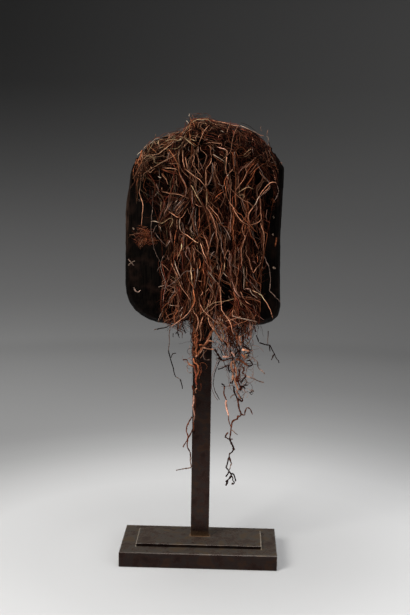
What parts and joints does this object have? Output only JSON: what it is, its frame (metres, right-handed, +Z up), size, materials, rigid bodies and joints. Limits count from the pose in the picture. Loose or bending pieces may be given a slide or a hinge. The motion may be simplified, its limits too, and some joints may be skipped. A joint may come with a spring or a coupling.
{
  "type": "ituri mask on a display stand",
  "caption": "Carved blackened wooden face mask hung with a long mat of dry roots, on a flat bar stand with a stepped rectangular base.",
  "frame": {"origin": "centre of the base's underside", "axes": "+Z up, -Y towards the viewer who faces the mask, +X to that viewer's right"},
  "size_m": [0.214, 0.1336, 0.6072],
  "materials": {
    "blackened_steel": "blackened and waxed, satin, rubbed lighter on the edges",
    "charred_wood": "charred and blackened, dull satin, brown where worn",
    "dry_root": "dry, matt, reddish brown",
    "pale_root": "dry, matt, tan"
  },
  "bodies": {
    "root": {"stand_base": "blackened_steel", "stand_step_plate": "blackened_steel", "stand_post": "blackened_steel", "mask_face": "charred_wood", "root_crown": "pale_root", "root_curtain": "dry_root", "root_tail": "dry_root", "root_post_tail": "dry_root", "root_tuft": "dry_root"}
  },
  "joints": []
}
